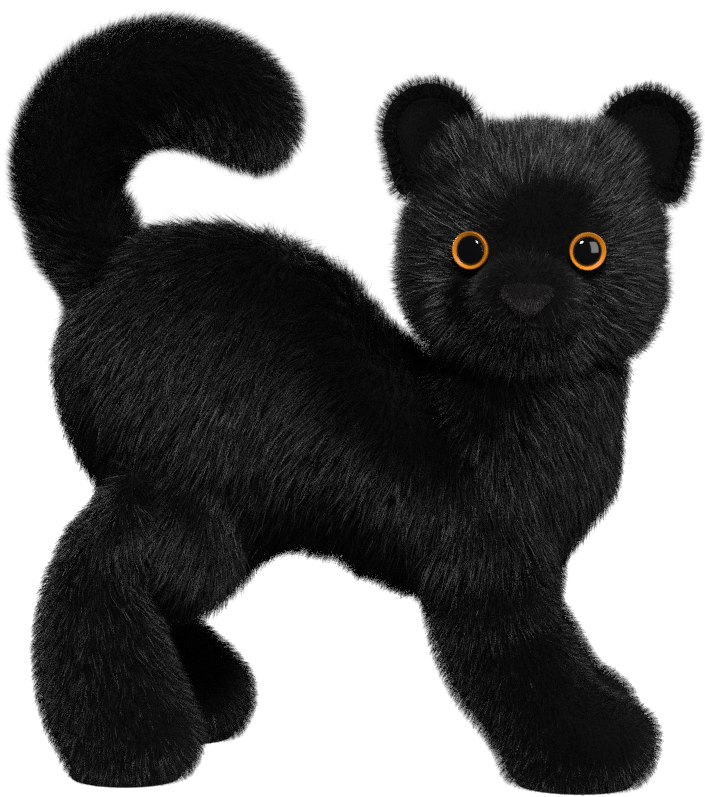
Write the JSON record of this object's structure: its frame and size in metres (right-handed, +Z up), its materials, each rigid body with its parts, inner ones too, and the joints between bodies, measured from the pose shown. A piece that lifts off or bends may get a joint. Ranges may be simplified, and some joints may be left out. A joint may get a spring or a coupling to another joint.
{
  "type": "plush cat",
  "caption": "Standing plush cat: sewn fur skins over stuffing, head turned to its right and tail curled forward over the back.",
  "frame": {"origin": "middle of the cat's box on the surface that it stands on", "axes": "+X from rump to chest, +Y to the cat's left, +Z up"},
  "size_m": [0.2264, 0.1195, 0.2491],
  "materials": {
    "black_long_pile": "long black pile plush with lighter grey-brown tips",
    "black_short_pile": "short black velour pile",
    "polyester_wadding": "loose white fibre wadding",
    "black_thread": "twisted polyester thread",
    "clear_eye_cap": "clear polished plastic",
    "amber_eye_plastic": "amber painted disc with a black pupil",
    "nylon_washer": "moulded nylon"
  },
  "bodies": {
    "torso": {"torso_right_panel": "black_long_pile", "torso_left_panel": "black_long_pile", "belly_panel": "black_long_pile", "torso_stuffing": "polyester_wadding"},
    "neck": {"neck_thread": "black_thread"},
    "head": {"head_right_panel": "black_long_pile", "head_left_panel": "black_long_pile", "head_gusset": "black_long_pile", "head_stuffing": "polyester_wadding", "muzzle_panel": "black_long_pile", "nose_patch": "black_short_pile", "mouth_stitch": "black_thread", "right_eye_dome": "clear_eye_cap", "right_eye_backing": "amber_eye_plastic", "right_eye_washer": "nylon_washer", "left_eye_dome": "clear_eye_cap", "left_eye_backing": "amber_eye_plastic", "left_eye_washer": "nylon_washer"},
    "right_ear": {"right_ear_back": "black_long_pile", "right_ear_lining": "black_short_pile"},
    "left_ear": {"left_ear_back": "black_long_pile", "left_ear_lining": "black_short_pile"},
    "right_hind_leg": {"right_hind_outer_panel": "black_long_pile", "right_hind_inner_panel": "black_long_pile", "right_hind_sole": "black_short_pile", "right_hind_stuffing": "polyester_wadding"},
    "left_hind_leg": {"left_hind_outer_panel": "black_long_pile", "left_hind_inner_panel": "black_long_pile", "left_hind_sole": "black_short_pile", "left_hind_stuffing": "polyester_wadding"},
    "right_fore_leg": {"right_fore_outer_panel": "black_long_pile", "right_fore_inner_panel": "black_long_pile", "right_fore_sole": "black_short_pile", "right_fore_stuffing": "polyester_wadding"},
    "left_fore_leg": {"left_fore_outer_panel": "black_long_pile", "left_fore_inner_panel": "black_long_pile", "left_fore_sole": "black_short_pile", "left_fore_stuffing": "polyester_wadding"},
    "tail": {"tail_right_panel": "black_long_pile", "tail_left_panel": "black_long_pile", "tail_stuffing": "polyester_wadding"}
  },
  "joints": [
    {"name": "head_turn", "type": "hinge", "parent": "torso", "child": "neck", "pos_m": [0.0612, -0.0068, 0.1332], "axis": [0, 0, 1], "range_deg": [-25, 25], "stiffness_Nm_per_rad": 0.3},
    {"name": "head_nod", "type": "hinge", "parent": "neck", "child": "head", "pos_m": [0.0612, -0.0068, 0.1332], "axis": [0.9994, 0.0349, 0], "range_deg": [-8, 8], "stiffness_Nm_per_rad": 0.6},
    {"name": "right_ear_fold", "type": "hinge", "parent": "head", "child": "right_ear", "pos_m": [0.02862, -0.00794, 0.21196], "axis": [0.7309, 0.0255, 0.682], "range_deg": [-15, 15], "stiffness_Nm_per_rad": 0.02},
    {"name": "left_ear_fold", "type": "hinge", "parent": "head", "child": "left_ear", "pos_m": [0.09378, -0.00566, 0.21196], "axis": [0.7309, 0.0255, -0.682], "range_deg": [-15, 15], "stiffness_Nm_per_rad": 0.02},
    {"name": "tail_sway", "type": "hinge", "parent": "torso", "child": "tail", "pos_m": [-0.0868, 0.0052, 0.175], "axis": [0.9117, 0, 0.4108], "range_deg": [-15, 15], "stiffness_Nm_per_rad": 0.25},
    {"name": "right_hind_swing", "type": "hinge", "parent": "torso", "child": "right_hind_leg", "pos_m": [-0.0778, -0.0328, 0.087], "axis": [0, 1, 0], "range_deg": [-12, 12], "stiffness_Nm_per_rad": 1},
    {"name": "left_hind_swing", "type": "hinge", "parent": "torso", "child": "left_hind_leg", "pos_m": [-0.0778, 0.0432, 0.087], "axis": [0, 1, 0], "range_deg": [-12, 12], "stiffness_Nm_per_rad": 1},
    {"name": "right_fore_swing", "type": "hinge", "parent": "torso", "child": "right_fore_leg", "pos_m": [0.0462, -0.0283, 0.0675], "axis": [0, 1, 0], "range_deg": [-12, 12], "stiffness_Nm_per_rad": 1},
    {"name": "left_fore_swing", "type": "hinge", "parent": "torso", "child": "left_fore_leg", "pos_m": [0.0452, 0.0387, 0.0675], "axis": [0, 1, 0], "range_deg": [-12, 12], "stiffness_Nm_per_rad": 1}
  ]
}
